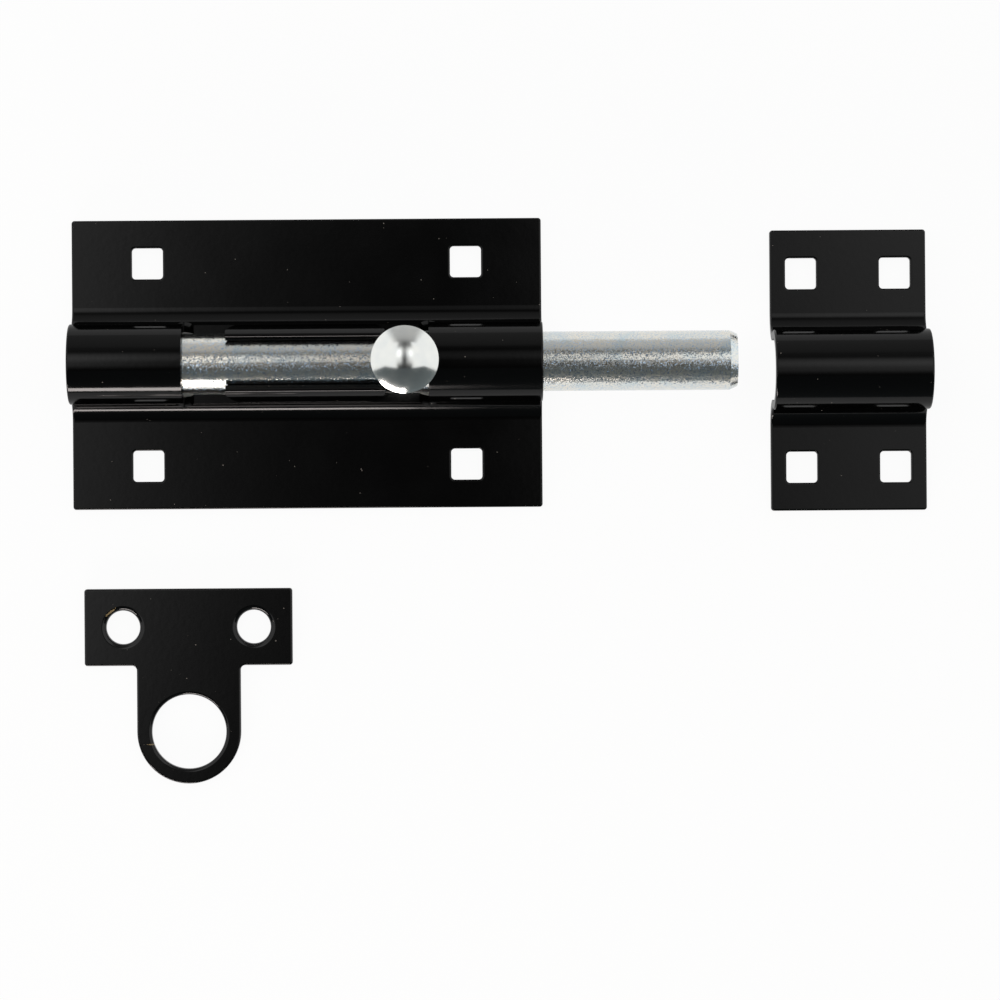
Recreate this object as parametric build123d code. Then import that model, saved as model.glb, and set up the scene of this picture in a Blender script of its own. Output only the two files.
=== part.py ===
from build123d import *
import math
import os

# Padlockable door bolt, in millimetres.
# A stamped steel plate carries a round rod in two rolled barrels.
# The rod slides along X, and its knob turns about the rod to lie down in a notch at either end.
# A keeper of the same rolled section and a flat tee-shaped plate go with it, loose beside the bolt.
# Origin: the middle of the barrel plate's four square holes, on its back. +X points at the keeper.

# Sheet that all three plates are stamped from
sheet = 2.3
front_edge_roll = 0.5
plate_corner = 0.8

# Rod
rod_diameter = 16.0
rod_length = 177.8
rod_rear_inset = 1.3
rod_front_chamfer_length = 2.0
rod_front_chamfer_depth = 0.9
rod_rear_chamfer = 0.6

# Knob, with its lengths measured out from the rod's axis
knob_neck_diameter = 9.2
knob_stem_diameter = 10.4
knob_head_diameter = 17.8
knob_shoulder_end = 9.4
knob_flare_start = 20.5
knob_flare_end = 26.6
knob_rim_height = 1.6
knob_rim_roll = 0.4
knob_dome_height = 3.6
knob_seat_clearance = 0.1
knob_side_gap = 0.3
knob_head_clearance = 0.3

# Rolled section that holds the rod, on the barrel plate and on the keeper
barrel_clearance = 0.5
flap_clearance = 0.2
foot_radius = 5.2
leg_straight = 0.4

# Barrel plate
plate_length = 127.0
plate_width = 78.2
barrel_length = 30.5
notch_clearance = 0.65
relief_radius = 2.8
relief_rise = 1.0

# Flaps between the notches, with their heights measured up from the rod's axis
slot_width = 14.6
flap_tip_roll = 0.6
flap_slant_length = 4.8
flap_slant_top = 6.0
flap_slant_bottom = -0.5

# Square holes for coach bolts
square_hole = 8.4
square_hole_corner = 1.0
plate_pitch_x = 86.1
plate_pitch_y = 54.8
keeper_pitch_x = 25.4
keeper_pitch_y = 52.4

# Keeper
keeper_length = 42.1
keeper_width = 75.9
keeper_gap = 9.8
keeper_shift_y = -2.7

# Tee plate
tee_bar_length = 56.3
tee_bar_width = 20.8
tee_tongue_width = 28.1
tee_rod_clearance = 2.05
tee_screw_hole = 9.1
tee_screw_pitch = 35.4
tee_screw_from_edge = 10.4
tee_rod_hole_from_screws = 28.3
tee_inner_corner = 1.3
tee_screw_hole_roll = 1.3
tee_rod_hole_roll = 0.9
tee_middle_x = -32.6
tee_gap = 21.5

# Places and radii that follow
rod_radius = rod_diameter / 2
stem_radius = knob_stem_diameter / 2
head_radius = knob_head_diameter / 2
barrel_radius = rod_radius + barrel_clearance + sheet
flap_radius = rod_radius + flap_clearance + sheet
axis_z = sheet + knob_head_clearance + head_radius
foot_z = sheet + foot_radius
bend_to_axis = math.hypot(foot_radius + barrel_radius, leg_straight)
foot_y = math.sqrt(bend_to_axis**2 - (axis_z - foot_z) ** 2)
notch_outer_x = plate_length / 2 - barrel_length
notch_length = knob_stem_diameter + 2 * notch_clearance
flap_end_x = notch_outer_x - notch_length
flap_root_x = flap_end_x - flap_slant_length
knob_x = flap_end_x + stem_radius + knob_side_gap
notch_floor_z = axis_z - stem_radius - knob_head_clearance
rod_rear_x = rod_rear_inset - plate_length / 2
keeper_x = rod_rear_x + rod_length + keeper_gap + keeper_length / 2
tee_bar_y = -plate_width / 2 - tee_gap - tee_bar_width / 2
tee_screw_y = tee_bar_y + tee_bar_width / 2 - tee_screw_from_edge
tee_rod_hole_y = tee_screw_y - tee_rod_hole_from_screws
tee_rod_hole_radius = rod_radius + tee_rod_clearance
clear_above = axis_z + 2 * barrel_radius


def lean(ring):
    """Degrees that the sheet leans back over the rod between its foot bend and a ring of this radius."""
    slope = math.atan2(axis_z - foot_z, foot_y)
    return math.degrees(slope - math.acos((foot_radius + ring) / bend_to_axis))


def rise(depth, ring, start, stop):
    """One face of the sheet from its foot bend to the ring round the rod, at this depth below its front."""
    tilt = lean(ring)
    bend = CenterArc((foot_y, foot_z), foot_radius + depth, start, 180 - tilt - start)
    hold = CenterArc((0, axis_z), ring - depth, -tilt, tilt + stop)
    return [bend, Line(bend @ 1, hold @ 0), hold]


def half_section(front_start, back_start, front, back):
    """A closed half of the sheet's section, between its front face and its back face."""
    outline = front + back
    outline.append(Line(front_start, back_start))
    outline.append(Line(front[-1] @ 1, back[-1] @ 1))
    return Plane.YZ * make_face(outline)


def both_sides(half, length):
    """The half section and its mirror image, run along X about the middle."""
    one_side = extrude(half, length / 2, both=True)
    return one_side + mirror(one_side, Plane.XZ)


def front_rim(plate, width):
    """The edges round the front of a plate: each belongs to only one of the faces that look outwards."""
    front_faces = []
    for face in plate.faces():
        normal = face.normal_at()
        outwards = math.copysign(1, face.center().Y)
        on_side = abs(face.center().Y) > width / 2 - front_edge_roll
        if normal.Z + outwards * normal.Y > front_edge_roll and not on_side:
            front_faces.append(face)
    edges = [edge for face in front_faces for edge in face.edges()]
    return [edge for edge in edges if edges.count(edge) == 1]


def rolled_plate(length, width, pitch_x, pitch_y):
    """A plate with two flat flanges, a rolled barrel along its whole length and four square holes."""
    front_start = (width / 2, sheet)
    back_start = (width / 2, 0)
    front = [Line(front_start, (foot_y, sheet))] + rise(0, barrel_radius, 270, 90)
    back = [Line(back_start, (foot_y, 0))] + rise(sheet, barrel_radius, 270, 90)
    plate = both_sides(half_section(front_start, back_start, front, back), length)
    square = RectangleRounded(square_hole, square_hole, square_hole_corner)
    plate -= extrude(Sketch() + GridLocations(pitch_x, pitch_y, 2, 2) * square, sheet)
    corners = plate.edges().filter_by(Axis.Z).filter_by(lambda edge: abs(edge.center().X) > (length - sheet) / 2)
    plate = fillet(corners, plate_corner)
    return fillet(front_rim(plate, width), front_edge_roll)


def flaps():
    """The two flaps that stand between the notches and curl in over the rod, leaving a slot for the knob."""
    tip_angle = math.degrees(math.acos(slot_width / 2 / flap_radius))
    front = rise(0, flap_radius, 180, tip_angle)
    back = rise(sheet, flap_radius, 180, tip_angle)
    pair = both_sides(half_section(front[0] @ 0, back[0] @ 0, front, back), 2 * flap_end_x)
    pair = fillet(pair.edges().filter_by(Axis.X).sort_by(Axis.Z)[-4:], flap_tip_roll)
    for side in (-1, 1):
        corner = Polyline(
            (side * flap_end_x, notch_floor_z),
            (side * flap_root_x, notch_floor_z),
            (side * flap_root_x, axis_z + flap_slant_bottom),
            (side * flap_end_x, axis_z + flap_slant_top),
            close=True,
        )
        pair -= extrude(Plane.XZ * make_face(corner), plate_width / 2, both=True)
    return pair


def barrel_plate():
    """The barrel plate, with its middle opened between two notches and the flaps left standing."""
    plate = rolled_plate(plate_length, plate_width, plate_pitch_x, plate_pitch_y)
    opening = Box(2 * notch_outer_x, 2 * foot_y, clear_above, align=(Align.CENTER, Align.CENTER, Align.MIN))
    plate -= Pos(0, 0, foot_z) * opening
    for side in (-1, 1):
        floor_length = notch_outer_x - flap_root_x
        notch = Box(floor_length, 2 * foot_y, clear_above, align=(Align.CENTER, Align.CENTER, Align.MIN))
        plate -= Pos(side * (notch_outer_x + flap_root_x) / 2, 0, notch_floor_z) * notch
        relief = Cylinder(relief_radius, 2 * foot_y, rotation=(90, 0, 0))
        plate -= Pos(side * notch_outer_x, 0, notch_floor_z + relief_rise) * relief
    return plate + flaps()


def bolt_rod():
    """The round rod, with a long chamfer in front to find the keeper and a small one behind."""
    front_x = rod_rear_x + rod_length
    outline = Polyline(
        (rod_rear_x, 0),
        (rod_rear_x, rod_radius - rod_rear_chamfer),
        (rod_rear_x + rod_rear_chamfer, rod_radius),
        (front_x - rod_front_chamfer_length, rod_radius),
        (front_x, rod_radius - rod_front_chamfer_depth),
        (front_x, 0),
        close=True,
    )
    return Pos(0, 0, axis_z) * revolve(Plane.XZ * make_face(outline), Axis.X)


def bolt_knob():
    """The turned knob, standing upright, its foot hollowed to sit round the rod."""
    neck_radius = knob_neck_diameter / 2
    foot = knob_shoulder_end - knob_stem_diameter / 2
    rim_start = knob_flare_end + knob_rim_roll
    rim_end = knob_flare_end + knob_rim_height
    tip = rim_end + knob_dome_height
    shoulder = TangentArc((stem_radius, knob_shoulder_end), (neck_radius, rod_radius), tangent=(0, -1))
    flare_top = (head_radius - knob_rim_roll, knob_flare_end)
    outline = [
        Polyline((0, tip), (0, foot), (neck_radius, foot), (neck_radius, rod_radius)),
        shoulder,
        Line((stem_radius, knob_shoulder_end), (stem_radius, knob_flare_start)),
        TangentArc((stem_radius, knob_flare_start), flare_top, tangent=(0, 1)),
        TangentArc((head_radius, rim_start), flare_top, tangent=(0, -1)),
        Line((head_radius, rim_start), (head_radius, rim_end)),
        TangentArc((0, tip), (head_radius, rim_end), tangent=(1, 0)),
    ]
    turned = revolve(Plane.XZ * make_face(outline), Axis.Z)
    seat = Cylinder(rod_radius + knob_seat_clearance, 2 * head_radius, rotation=(0, 90, 0))
    return Pos(knob_x, 0, axis_z) * (turned - seat)


def tee_plate():
    """The flat tee plate: a bar with two screw holes, and a round tongue with one hole that clears the rod."""
    bar = Pos(0, tee_bar_y) * Rectangle(tee_bar_length, tee_bar_width)
    tongue_length = tee_bar_y - tee_rod_hole_y
    tongue = Pos(0, tee_bar_y - tongue_length / 2) * Rectangle(tee_tongue_width, tongue_length)
    tongue_end = Pos(0, tee_rod_hole_y) * Circle(tee_tongue_width / 2)
    flat = bar + tongue + tongue_end
    bar_lower_edge = tee_bar_y - tee_bar_width / 2
    sharp = flat.vertices().filter_by_position(Axis.Y, bar_lower_edge - sheet, tee_bar_y + tee_bar_width)
    inner = sharp.filter_by_position(Axis.X, -tee_tongue_width, tee_tongue_width)
    flat = fillet(inner, tee_inner_corner)
    outer = flat.vertices().filter_by(lambda corner: abs(corner.X) > (tee_bar_length - sheet) / 2)
    flat = fillet(outer, plate_corner)
    plate = fillet(extrude(flat, sheet).edges().group_by(Axis.Z)[-1], front_edge_roll)
    screw_spots = [(-tee_screw_pitch / 2, tee_screw_y), (tee_screw_pitch / 2, tee_screw_y)]
    holes = [(x, y, tee_screw_hole / 2, tee_screw_hole_roll) for x, y in screw_spots]
    holes.append((0, tee_rod_hole_y, tee_rod_hole_radius, tee_rod_hole_roll))
    for x, y, radius, roll in holes:
        plate -= Pos(x, y, sheet / 2) * Cylinder(radius, sheet)
        rim = plate.edges().filter_by(GeomType.CIRCLE).group_by(Axis.Z)[-1].sort_by_distance((x, y, sheet))[0]
        plate = fillet(rim, roll)
    return Pos(tee_middle_x, 0, 0) * plate


def keeper_plate():
    """The keeper: the rolled plate cut short, set down past the rod's end and a little out of line."""
    plate = rolled_plate(keeper_length, keeper_width, keeper_pitch_x, keeper_pitch_y)
    return Pos(keeper_x, keeper_shift_y, 0) * plate


os.makedirs("parts", exist_ok=True)
export_step(barrel_plate(), "parts/barrel_plate.step")
export_step(bolt_rod(), "parts/bolt_rod.step")
export_step(bolt_knob(), "parts/bolt_knob.step")
export_step(keeper_plate(), "parts/keeper_plate.step")
export_step(tee_plate(), "parts/tee_plate.step")
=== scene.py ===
# %% [markdown]
# # Padlockable door bolt, photographed from straight above
# The CAD model brings five pieces in metres: a black barrel plate, a zinc-plated rod, its turned knob, a
# loose keeper and a loose flat tee plate. Their shapes are right already, so this lesson gives them their
# finishes, adds the riveted end of the knob's tenon, and sets up the camera and the light of a product
# photograph.

# %% Load the CAD frame
import math
import bmesh
import bpy
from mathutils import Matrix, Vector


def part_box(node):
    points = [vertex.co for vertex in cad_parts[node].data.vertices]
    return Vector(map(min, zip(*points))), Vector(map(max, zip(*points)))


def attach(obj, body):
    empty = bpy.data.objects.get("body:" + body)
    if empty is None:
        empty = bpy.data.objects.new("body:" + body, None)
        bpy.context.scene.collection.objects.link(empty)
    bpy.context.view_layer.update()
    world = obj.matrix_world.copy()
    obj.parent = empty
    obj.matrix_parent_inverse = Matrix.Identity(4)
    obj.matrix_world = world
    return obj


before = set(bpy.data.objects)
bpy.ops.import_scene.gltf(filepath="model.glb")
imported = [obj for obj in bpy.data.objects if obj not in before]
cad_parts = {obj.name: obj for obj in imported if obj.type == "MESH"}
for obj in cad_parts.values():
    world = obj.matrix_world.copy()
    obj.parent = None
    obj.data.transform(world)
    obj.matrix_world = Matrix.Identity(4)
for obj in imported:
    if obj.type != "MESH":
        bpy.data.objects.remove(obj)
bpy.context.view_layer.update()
MM = 0.001
print("pieces:", sorted(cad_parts))

# %% [markdown]
# ## A few small helpers
# Colours are written as the hex values that a paint chart or a screen gives. Blender works with linear
# light, so one function turns them over. A second function adds a shader node, sets it up and links it in
# one line, which keeps each material short enough to read from top to bottom. The last one fills a colour
# ramp.

# %% Colour and node helpers
def linear(hex_colour):
    """The linear colour, with alpha, of an sRGB hex value such as #C8D0D4."""
    shares = [int(hex_colour[i : i + 2], 16) / 255 for i in (1, 3, 5)]
    return [s / 12.92 if s <= 0.04045 else ((s + 0.055) / 1.055) ** 2.4 for s in shares] + [1.0]


def add(tree, kind, links=None, **settings):
    """A new shader node. Settings are its properties, links fill its sockets with values or other sockets."""
    node = tree.nodes.new("ShaderNode" + kind)
    for name, value in settings.items():
        setattr(node, name, value)
    for name, value in (links or {}).items():
        if isinstance(value, bpy.types.NodeSocket):
            tree.links.new(value, node.inputs[name])
        else:
            node.inputs[name].default_value = value
    return node


def new_material(name):
    """An empty material and its node tree."""
    material = bpy.data.materials.new(name)
    material.use_nodes = True
    material.node_tree.nodes.clear()
    return material, material.node_tree


def colour_ramp(tree, value, stops):
    """The colour that a ramp gives for a value: stops pair a place from 0 to 1 with a linear colour."""
    ramp = add(tree, "ValToRGB", {"Fac": value})
    elements = ramp.color_ramp.elements
    while len(elements) < len(stops):
        elements.new(1.0)
    for element, (place, colour) in zip(elements, stops):
        element.position = place
        element.color = colour
    return ramp.outputs["Color"]


print("mid grey #808080 is", [round(c, 3) for c in linear("#808080")[:3]], "in linear light")

# %% [markdown]
# ## The camera
# The photograph looks straight down at the pieces. The rod, which stands higher, is drawn about one percent
# larger than the flanges, and that gives the camera's height. A product shot is cropped after it is taken,
# so the lens's own middle lies up and left of the picture's, which Blender's shift reproduces. The set lies
# turned by less than half a degree.

# %% Camera over the bolt
PICTURE_WIDTH_PX = 1000
SENSOR_MM = 36
SET_TURN_DEGREES = -0.4
PX_PER_MM = 3.696
LENS_MIDDLE_PX = (446.4, 474.5)
camera_height = 1100 * MM
flange_front = 2.3 * MM
camera_x, camera_y = 37.5 * MM, -30.2 * MM
picture_width = PICTURE_WIDTH_PX / PX_PER_MM * MM

camera = bpy.data.objects.new("camera", bpy.data.cameras.new("camera"))
camera.data.sensor_width = SENSOR_MM
camera.data.lens = SENSOR_MM * camera_height / picture_width
camera.data.shift_x = 0.5 - LENS_MIDDLE_PX[0] / PICTURE_WIDTH_PX
camera.data.shift_y = LENS_MIDDLE_PX[1] / PICTURE_WIDTH_PX - 0.5
camera.data.clip_start, camera.data.clip_end = 0.05, 100
camera.location = (camera_x, camera_y, flange_front + camera_height)
camera.rotation_euler = (0, 0, math.radians(SET_TURN_DEGREES))
bpy.context.scene.collection.objects.link(camera)
bpy.context.scene.camera = camera
bpy.context.scene.view_settings.view_transform = "Standard"
print(f"lens {camera.data.lens:.0f} mm, the picture is {picture_width / MM:.0f} mm wide at the flanges")

# %% [markdown]
# ## The floor
# The pieces lie on a white table. Its material shows white to the eye and in reflections, by the Light Path
# node, and keeps a share of plain diffuse white, which is where the pieces' soft contact shadows show.
# Where the pieces close the table in, as under the barrels, no light reaches it, so it falls back to the
# diffuse white.

# %% White floor
floor_mesh = bpy.data.meshes.new("floor")
floor_half, floor_drop = 20.0, 0.2 * MM
corners = [(x * floor_half, y * floor_half, -floor_drop) for x, y in ((-1, -1), (1, -1), (1, 1), (-1, 1))]
floor_mesh.from_pydata(corners, [], [(0, 1, 2, 3)])
floor = bpy.data.objects.new("floor", floor_mesh)
bpy.context.scene.collection.objects.link(floor)

white_table, tree = new_material("white_table_top")
path = add(tree, "LightPath")
shown = path.outputs["Is Camera Ray"]
for ray in ("Is Glossy Ray", "Is Transmission Ray"):
    shown = add(tree, "Math", {0: shown, 1: path.outputs[ray]}, operation="MAXIMUM").outputs[0]
where = add(tree, "SeparateXYZ", {"Vector": add(tree, "TexCoord").outputs["Object"]})
lit = 0.94
arch_half_width, arch_end_seen = 12 * MM, 2 * MM
for name in ("barrel_plate", "keeper_plate"):
    low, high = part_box(name)
    outside = []
    for axis, reach in ((0, (high.x - low.x) / 2 - arch_end_seen), (1, arch_half_width)):
        middle = (low[axis] + high[axis]) / 2
        away = add(tree, "Math", {0: where.outputs[axis], 1: middle}, operation="SUBTRACT")
        far = add(tree, "Math", {0: away.outputs[0]}, operation="ABSOLUTE")
        outside.append(add(tree, "Math", {0: far.outputs[0], 1: reach}, operation="GREATER_THAN").outputs[0])
    clear = add(tree, "Math", {0: outside[0], 1: outside[1]}, operation="MAXIMUM")
    lit = add(tree, "Math", {0: clear.outputs[0], 1: lit}, operation="MULTIPLY").outputs[0]
white_share = add(tree, "Math", {0: shown, 1: lit}, operation="MULTIPLY")
paint = add(tree, "BsdfDiffuse", {"Color": linear("#F2F2F0")})
glow = add(tree, "Emission", {"Color": linear("#FFFFFF"), "Strength": 1.0})
table_top = add(tree, "MixShader", {0: white_share.outputs[0], 1: paint.outputs[0], 2: glow.outputs[0]})
add(tree, "OutputMaterial", {"Surface": table_top.outputs[0]})
floor_mesh.materials.append(white_table)
print("floor lies", floor_drop / MM, "mm under the plates")

# %% [markdown]
# ## Sheets of glowing cloth
# Gloss black shows nothing but what it reflects, so the light is planned by where it stands. It comes from
# a tent of white cloth, whose sheets glow by themselves, which gives soft light. Real cloth is never evenly
# lit, and here that matters, so one function sets brightness along a line in space, and another hangs a
# sheet.

# %% Functions for the cloth
ceiling, near_wall, back_wall, side_wall = 1.38, -0.5, 1.3, 1.5
WHITE_CLOTH = (1.15, 1.15, 1.15, 1)
side_gain = 2.0


def levels(tree, value, stops):
    """Brightness along a line in space: stops are pairs of a place in metres and the radiance there."""
    first, last = stops[0][0], stops[-1][0]
    share = add(tree, "MapRange", {"Value": value, "From Min": first, "From Max": last})
    greys = [((place - first) / (last - first), (grey, grey, grey, 1)) for place, grey in stops]
    return colour_ramp(tree, share.outputs[0], greys)


def white_outside(tree, value, middle, stops):
    """White cloth where the stops reach 1, and the middle's own light where they are 0."""
    outer = levels(tree, value, stops)
    return add(tree, "Mix", {"Factor": outer, 6: middle, 7: WHITE_CLOTH}, data_type="RGBA").outputs[2]


def cloth(name, corners, colour, tree, material):
    """One sheet of glowing cloth, seen in reflections and as light, but not by the camera."""
    glow = add(tree, "Emission", {"Color": colour})
    add(tree, "OutputMaterial", {"Surface": glow.outputs[0]})
    mesh = bpy.data.meshes.new(name)
    mesh.from_pydata(corners, [], [(0, 1, 2, 3)])
    mesh.materials.append(material)
    sheet = bpy.data.objects.new(name, mesh)
    sheet.visible_camera = False
    bpy.context.scene.collection.objects.link(sheet)
    print(name, "hangs between", corners[0], "and", corners[2])


print("tent:", 2 * side_wall, "m wide,", ceiling, "m high, open on the near side")

# %% [markdown]
# ## The overhead sheet
# One large sheet hangs over the set. It is dim near the camera, brighter to the left and to the right, and
# has a soft band on the upper side: that band is the sheen on top of the barrels. The places of the stops
# were worked out from the photograph, since each spot on a flat or round black surface mirrors one spot of
# the sheet.

# %% Overhead sheet
overhead, tree = new_material("overhead_cloth")
where = add(tree, "SeparateXYZ", {"Vector": add(tree, "TexCoord").outputs["Object"]})
band_stops = [(-0.5, 0.05), (-0.2, 0.04), (0.0, 0.03), (0.12, 0.07), (0.2, 0.18), (0.4, 0.32), (0.66, 0.25)]
band_stops += [(0.85, 0.1), (0.95, 0.08), (1.3, 0.18)]
opening_stops = [(-0.5, 0.0), (-0.36, 0.04), (-0.24, 0.2), (-0.1, 0.44), (0.1, 0.55), (0.2, 0.66)]
opening_stops += [(0.38, 0.76), (0.52, 0.64), (0.66, 0.45), (0.8, 0.2), (0.95, 0.08), (1.3, 0.06)]
side_stops = [(-1.5, 1.0), (-0.19, 1.0), (-0.17, 0.72), (-0.14, 0.48), (-0.11, 0.28), (-0.05, 0.12)]
side_stops += [(0.0, 0.04), (0.04, 0.02), (0.09, 0.1), (0.15, 0.46), (0.24, 0.6), (0.3, 0.9)]
side_stops += [(0.4, 1.0), (1.5, 1.0)]
band = levels(tree, where.outputs["Y"], band_stops)
opening = levels(tree, where.outputs["Y"], opening_stops)
sides = levels(tree, where.outputs["X"], side_stops)
side_glow = add(tree, "Math", {0: opening, 1: sides}, operation="MULTIPLY")
side_light = add(tree, "Math", {0: side_glow.outputs[0], 1: side_gain}, operation="MULTIPLY")
middle_light = add(tree, "VectorMath", {0: band, 1: side_light.outputs[0]}, operation="ADD").outputs[0]
outer_stops = [(-1.5, 1.0), (-0.5, 1.0), (-0.35, 0.0), (0.4, 0.0), (0.55, 1.0), (1.5, 1.0)]
overhead_light = white_outside(tree, where.outputs["X"], middle_light, outer_stops)
corners = [(-side_wall, near_wall, ceiling), (side_wall, near_wall, ceiling)]
corners += [(side_wall, back_wall, ceiling), (-side_wall, back_wall, ceiling)]
cloth("overhead", corners, overhead_light, tree, overhead)

# %% [markdown]
# ## The walls of the tent
# Plain white walls close the tent left, right and behind. They are the two bright bands on the knob. The
# back wall is dimmer in its middle, where the upper sides of the barrels mirror it.

# %% Back, left and right walls
back, tree = new_material("back_cloth")
where = add(tree, "SeparateXYZ", {"Vector": add(tree, "TexCoord").outputs["Object"]})
back_middle = levels(tree, where.outputs["Z"], [(0.0, 0.58), (0.7, 0.52), (1.1, 0.44), (1.38, 0.25)])
outer_stops = [(-1.5, 1.0), (-0.9, 1.0), (-0.5, 0.0), (0.6, 0.0), (1.0, 1.0), (1.5, 1.0)]
back_light = white_outside(tree, where.outputs["X"], back_middle, outer_stops)
corners = [(-side_wall, back_wall, 0), (side_wall, back_wall, 0)]
corners += [(side_wall, back_wall, ceiling), (-side_wall, back_wall, ceiling)]
cloth("back", corners, back_light, tree, back)

for name, side in (("left", -1), ("right", 1)):
    wall, tree = new_material(name + "_cloth")
    place = side * side_wall
    corners = [(place, near_wall, 0), (place, back_wall, 0)]
    corners += [(place, back_wall, ceiling), (place, near_wall, ceiling)]
    cloth(name, corners, WHITE_CLOTH, tree, wall)

# %% [markdown]
# ## The low lamp
# A narrow softbox stands low on the near side, left of the bolt's middle. It draws the hard bright strip
# along the left barrel, the rod and the foot of the flange, and it ends before the right barrel.

# %% Low lamp
lamp_distance, lamp_end, lamp_length = 0.9, 0.02, 1.0
elevations = (7, 17.5)
lamp_bottom, lamp_top = (lamp_distance * math.tan(math.radians(elevation)) for elevation in elevations)
lamp_data = bpy.data.lights.new("low_lamp", "AREA")
lamp_data.shape = "RECTANGLE"
lamp_data.size, lamp_data.size_y = lamp_length, lamp_top - lamp_bottom
lamp_radiance = 20.0
lamp_data.energy = lamp_radiance * math.pi * lamp_data.size * lamp_data.size_y
lamp_data.color = linear("#FFF6F2")[:3]
low_lamp = bpy.data.objects.new("low_lamp", lamp_data)
low_lamp.location = (lamp_end - lamp_length / 2, -lamp_distance, (lamp_bottom + lamp_top) / 2)
low_lamp.rotation_euler = (math.radians(90), 0, 0)
bpy.context.scene.collection.objects.link(low_lamp)
print(f"low lamp: {lamp_length} by {lamp_data.size_y:.2f} m, ends at x {lamp_end / MM:.0f} mm")

# %% [markdown]
# ## The room
# Outside the tent the room is dim and a little bluish, and paler along the horizon. A colour ramp on the
# height of the direction is enough for that.

# %% Room
world = bpy.data.worlds.new("room")
bpy.context.scene.world = world
world.use_nodes = True
tree = world.node_tree
tree.nodes.clear()
direction = add(tree, "TexCoord")
height = add(tree, "SeparateXYZ", {"Vector": direction.outputs["Generated"]})
stops = [(0.0, "#70787A"), (0.3, "#646B6D"), (0.7, "#5A6062"), (1.0, "#54595B")]
air = colour_ramp(tree, height.outputs["Z"], [(place, linear(colour)) for place, colour in stops])
backdrop = add(tree, "Background", {"Color": air, "Strength": 1.0})
add(tree, "OutputWorld", {"Surface": backdrop.outputs[0]})
print("room:", len(stops), "stops from the horizon to the ceiling")

# %% [markdown]
# ## Black stoved enamel on stamped steel
# The three plates are stamped from sheet, sprayed black and baked. The coat is deep black and glossy, with
# the faint orange peel that sprayed enamel dries to, about 1.5 mm from bump to bump, and a little dust
# caught in it. The gloss is the whole look, so it is a clear coat over a black that reflects nothing
# itself. Real enamel reflects about four percent; the plates in the picture reflect less, so the coat's
# weight is lowered, and less so on the flat tee plate, whose coat looks fuller. Two chips are worn through
# to the yellowish primer on the tee plate: by the left screw hole and by the ring.

# %% Black enamel
peel_mm, dust_cell_mm, haze_mm, ragged_mm = 1.5, 2.3, 14.0, 0.6
dust_patches_per_mm, peel_height_mm = 0.31, 0.006
# Each chip: its middle's x and y, its length and width in mm, and its turn in degrees.
chips = ((-53.7, -66.9, 3.4, 0.5, 38), (-42.2, -102.7, 3.0, 0.3, 0))


def enamel_coat(name, coat):
    """Black enamel on steel: coat is the share of full gloss that the clear top layer gives."""
    material, tree = new_material(name)
    place = add(tree, "TexCoord").outputs["Object"]
    in_mm = add(tree, "VectorMath", {0: place, 3: 1000.0}, operation="SCALE").outputs[0]
    peel = add(tree, "TexNoise", {"Vector": in_mm, "Scale": 1 / peel_mm, "Detail": 1.0})
    haze = add(tree, "TexNoise", {"Vector": in_mm, "Scale": 1 / haze_mm, "Detail": 3.0})
    dust = add(tree, "TexVoronoi", {"Vector": in_mm, "Scale": 1 / dust_cell_mm, "Randomness": 1.0})
    chip_edge = add(tree, "TexNoise", {"Vector": in_mm, "Scale": 1 / ragged_mm, "Detail": 2.0})
    dust_size = add(tree, "TexNoise", {"Vector": in_mm, "Scale": dust_patches_per_mm, "Detail": 0.0})
    sparse = {"Value": dust_size.outputs["Fac"], "From Min": 0.42, "From Max": 0.75, "To Max": 0.08}
    speck = {0: dust.outputs["Distance"], 1: add(tree, "MapRange", sparse).outputs[0]}
    dust_mask = add(tree, "Math", speck, operation="LESS_THAN")
    chip_mask = 0.0
    for chip_x, chip_y, chip_length, chip_width, turn in chips:
        from_chip = add(tree, "VectorMath", {0: in_mm, 1: (chip_x, chip_y, 0)}, operation="SUBTRACT")
        share = (1 / chip_length, 1 / chip_width, 0)
        along = add(tree, "VectorRotate", {"Vector": from_chip.outputs[0], "Angle": math.radians(-turn)})
        scaled = add(tree, "VectorMath", {0: along.outputs[0], 1: share}, operation="MULTIPLY")
        away = add(tree, "VectorMath", {0: scaled.outputs[0]}, operation="LENGTH")
        edge = {0: away.outputs["Value"], 1: chip_edge.outputs["Fac"]}
        ragged = add(tree, "Math", edge, operation="LESS_THAN")
        chip_mask = add(tree, "Math", {0: ragged.outputs[0], 1: chip_mask}, operation="MAXIMUM").outputs[0]
    coat_colour = add(
        tree,
        "Mix",
        {"Factor": dust_mask.outputs[0], 6: linear("#020202"), 7: linear("#6E6862")},
        data_type="RGBA",
    )
    worn_colour = add(
        tree,
        "Mix",
        {"Factor": chip_mask, 6: coat_colour.outputs[2], 7: linear("#7A6A4C")},
        data_type="RGBA",
    )
    gloss = add(
        tree,
        "MapRange",
        {"Value": haze.outputs["Fac"], "From Min": 0.3, "From Max": 0.7, "To Min": 0.08, "To Max": 0.13},
    )
    ripple = add(tree, "Bump", {"Height": peel.outputs["Fac"], "Distance": peel_height_mm * MM})
    enamel = add(
        tree,
        "BsdfPrincipled",
        {
            "Base Color": worn_colour.outputs[2],
            "Roughness": 0.5,
            "IOR": 1.5,
            "Specular IOR Level": 0.0,
            "Coat Weight": coat,
            "Coat Roughness": gloss.outputs[0],
            "Coat IOR": 1.5,
            "Coat Normal": ripple.outputs[0],
        },
    )
    add(tree, "OutputMaterial", {"Surface": enamel.outputs[0]})
    print(name, "reflects", coat, "of a full coat")
    return material


black_enamel = enamel_coat("black_stoved_enamel_on_stamped_steel", 0.44)
tee_enamel = enamel_coat("black_stoved_enamel_on_flat_steel", 0.66)
print("orange peel every", peel_mm, "mm, dust about every", dust_cell_mm, "mm")

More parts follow.
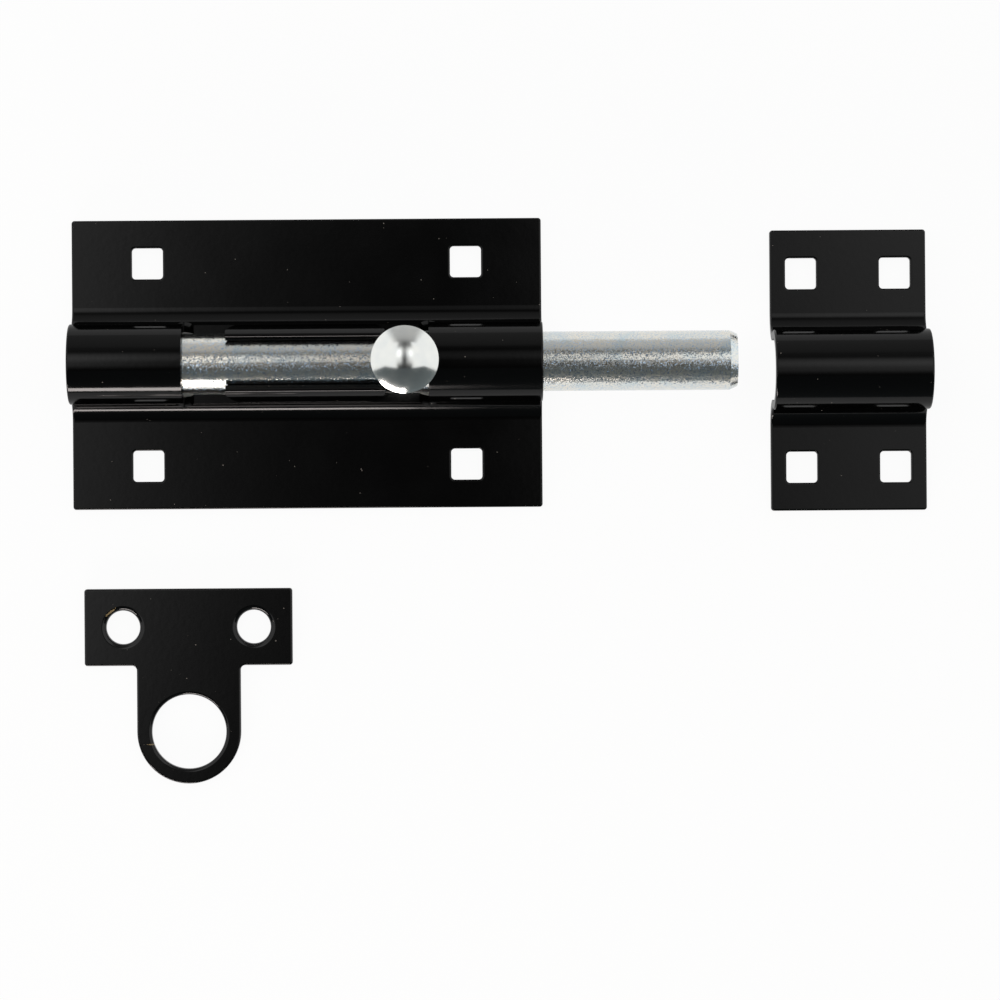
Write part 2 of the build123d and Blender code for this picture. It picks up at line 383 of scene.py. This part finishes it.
# %% [markdown]
# ## Bright zinc plate on drawn bar
# The rod is drawn steel bar with blue-passivated zinc plate. Up close the plating is a skin of tiny
# crystals, each leaning a little its own way. A few are tipped further and look blue: they still catch the
# sheen from the dark part of the reflection, and sparkle there. A Voronoi cell stands for one crystal, and
# its random colour gives it its lean, its finish and its touch of blue. Real crystals are far finer. They
# are drawn 0.25 mm wide, about one pixel, which is as fine as the picture can show. Drawing the bar through
# its die leaves long fine lines, and the passivation film adds faint patches of colour.

# %% Zinc on the rod
zinc_bar, tree = new_material("blue_passivated_zinc_on_drawn_bar")
place = add(tree, "TexCoord").outputs["Object"]
in_mm = add(tree, "VectorMath", {0: place, 3: 1000.0}, operation="SCALE").outputs[0]
crystal_mm, film_mm, line_mm, line_length_mm = 0.25, 7.0, 0.35, 12.0
crystal_lean, crystal_tip, line_depth_mm = 0.10, 0.26, 0.002
crystal = add(tree, "TexVoronoi", {"Vector": in_mm, "Scale": 1 / crystal_mm, "Randomness": 1.0})
film = add(tree, "TexNoise", {"Vector": in_mm, "Scale": 1 / film_mm, "Detail": 3.0, "Distortion": 0.6})
stretched = add(tree, "VectorMath", {0: in_mm, 1: (line_mm / line_length_mm, 1.0, 1.0)}, operation="MULTIPLY")
lines = add(tree, "TexNoise", {"Vector": stretched.outputs[0], "Scale": 1 / line_mm, "Detail": 2.0})
film_stops = [(0.28, "#CCD6D6"), (0.42, "#D8DAD5"), (0.55, "#E0DED5"), (0.70, "#E3DDD0")]
film_stops = [(place, linear(colour)) for place, colour in film_stops]
film_colour = colour_ramp(tree, film.outputs["Fac"], film_stops)
random_lean = add(tree, "VectorMath", {0: crystal.outputs["Color"], 1: (0.5, 0.5, 0.5)}, operation="SUBTRACT")
how_far = add(tree, "VectorMath", {0: random_lean.outputs[0]}, operation="LENGTH")
strong = add(tree, "Math", {0: how_far.outputs["Value"], 1: crystal_lean}, operation="MULTIPLY")
lean = add(tree, "VectorMath", {0: random_lean.outputs[0], 3: strong.outputs[0]}, operation="SCALE")
surface = add(tree, "NewGeometry").outputs["Normal"]
leaning = add(tree, "VectorMath", {0: surface, 1: lean.outputs[0]}, operation="ADD")
pick = add(tree, "SeparateXYZ", {"Vector": crystal.outputs["Color"]})
bluish = add(tree, "Math", {0: pick.outputs["Y"], 1: 4.0}, operation="POWER")
tip = add(tree, "VectorMath", {0: (0, crystal_tip, 0), 3: bluish.outputs[0]}, operation="SCALE")
tipped = add(tree, "VectorMath", {0: leaning.outputs[0], 1: tip.outputs[0]}, operation="ADD")
facet = add(tree, "VectorMath", {0: tipped.outputs[0]}, operation="NORMALIZE")
finish = add(tree, "MapRange", {"Value": pick.outputs["X"], "To Min": 0.08, "To Max": 0.27})
zinc_colour = add(
    tree,
    "Mix",
    {"Factor": bluish.outputs[0], 6: film_colour, 7: linear("#A6BCD2")},
    data_type="RGBA",
)
relief = {"Height": lines.outputs["Fac"], "Distance": line_depth_mm * MM, "Normal": facet.outputs[0]}
drawn = add(tree, "Bump", relief)
zinc = add(
    tree,
    "BsdfPrincipled",
    {
        "Base Color": zinc_colour.outputs[2],
        "Metallic": 1.0,
        "Roughness": finish.outputs[0],
        "Normal": drawn.outputs[0],
    },
)
add(tree, "OutputMaterial", {"Surface": zinc.outputs[0]})
print("rod: crystals of", crystal_mm, "mm, film patches of", film_mm, "mm, drawn lines of", line_mm, "mm")

# %% [markdown]
# ## Polished zinc plate on turned steel
# The knob is turned from steel and plated bright. It is close to a mirror, with the turning tool's rings
# left as very fine lines round its axis, 0.3 mm apart.

# %% Zinc on the knob
zinc_knob, tree = new_material("polished_zinc_on_turned_steel")
place = add(tree, "TexCoord").outputs["Object"]
in_mm = add(tree, "VectorMath", {0: place, 3: 1000.0}, operation="SCALE").outputs[0]
ring_mm, ring_depth_mm, smear_mm = 0.3, 0.003, 3.0
wave_bands_per_scale = 20
wave = {"Vector": in_mm, "Scale": 1 / (ring_mm * wave_bands_per_scale), "Distortion": 0.4}
rings = add(tree, "TexWave", wave, bands_direction="Z")
smear = add(tree, "TexNoise", {"Vector": in_mm, "Scale": 1 / smear_mm, "Detail": 3.0})
knob_colour = add(
    tree,
    "Mix",
    {"Factor": smear.outputs["Fac"], 6: linear("#D2D6D6"), 7: linear("#E6E6E0")},
    data_type="RGBA",
)
polish = add(
    tree,
    "MapRange",
    {"Value": smear.outputs["Fac"], "From Min": 0.3, "From Max": 0.7, "To Min": 0.13, "To Max": 0.19},
)
groove = {"Height": rings.outputs["Fac"], "Strength": 0.5, "Distance": ring_depth_mm * MM}
tool_lines = add(tree, "Bump", groove)
steel = add(
    tree,
    "BsdfPrincipled",
    {
        "Base Color": knob_colour.outputs[2],
        "Metallic": 1.0,
        "Roughness": polish.outputs[0],
        "Normal": tool_lines.outputs[0],
    },
)
add(tree, "OutputMaterial", {"Surface": steel.outputs[0]})
print("knob: turning lines", ring_mm, "mm apart")

# %% [markdown]
# ## Dressing the CAD pieces
# The plates, the rod and the knob have their true shape from the CAD, so each keeps its mesh and only its
# material slots are filled.

# %% Materials on the CAD pieces
finish_of = {
    "barrel_plate": black_enamel,
    "keeper_plate": black_enamel,
    "tee_plate": tee_enamel,
    "bolt_rod": zinc_bar,
    "bolt_knob": zinc_knob,
}
for name, material in finish_of.items():
    for material_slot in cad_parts[name].material_slots:
        material_slot.material = material
    print(name, "gets", material.name)

# %% [markdown]
# ## The riveted end of the knob's tenon
# On such a bolt the knob's tenon goes through the rod and is riveted over on the far side, which shows as a
# shallow round button lying on the rod. It is a small domed disc whose edge follows the rod's round
# surface, so it is built ring by ring: each point is set on the rod and then lifted by the dome.

# %% Riveted tenon end
rod_low, rod_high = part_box("bolt_rod")
knob_low, knob_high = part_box("bolt_knob")
rod_radius = (rod_high.z - rod_low.z) / 2
axis_z = (rod_high.z + rod_low.z) / 2
knob_x = (knob_high.x + knob_low.x) / 2
tenon_radius, tenon_dome, tenon_edge = 4.1 * MM, 0.30 * MM, 0.06 * MM
ring_count, spoke_count = 12, 64

tenon = bmesh.new()
centre = tenon.verts.new((knob_x, 0, axis_z - rod_radius - tenon_dome - tenon_edge))
rings_made = []
for ring in range(1, ring_count + 2):
    share = min(ring / ring_count, 1)
    reach = tenon_radius * share
    lift = tenon_dome * (1 - share**2) + tenon_edge if ring <= ring_count else -tenon_edge
    spokes = []
    for spoke in range(spoke_count):
        turn = math.tau * spoke / spoke_count
        x, y = reach * math.cos(turn), reach * math.sin(turn)
        depth = math.sqrt(rod_radius**2 - y**2) + lift
        spokes.append(tenon.verts.new((knob_x + x, y, axis_z - depth)))
    rings_made.append(spokes)
for spoke in range(spoke_count):
    after = (spoke + 1) % spoke_count
    tenon.faces.new((centre, rings_made[0][after], rings_made[0][spoke]))
    for inner, outer in zip(rings_made, rings_made[1:]):
        tenon.faces.new((inner[spoke], inner[after], outer[after], outer[spoke]))
for face in tenon.faces:
    face.smooth = True
tenon_mesh = bpy.data.meshes.new("tenon_end")
tenon.to_mesh(tenon_mesh)
tenon.free()
tenon_end = bpy.data.objects.new("tenon_end", tenon_mesh)
bpy.context.scene.collection.objects.link(tenon_end)
tenon_mesh.materials.append(zinc_knob)
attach(tenon_end, "knob")
print("tenon end:", len(tenon_mesh.polygons), "faces, under the rod at x", round(knob_x / MM, 1), "mm")
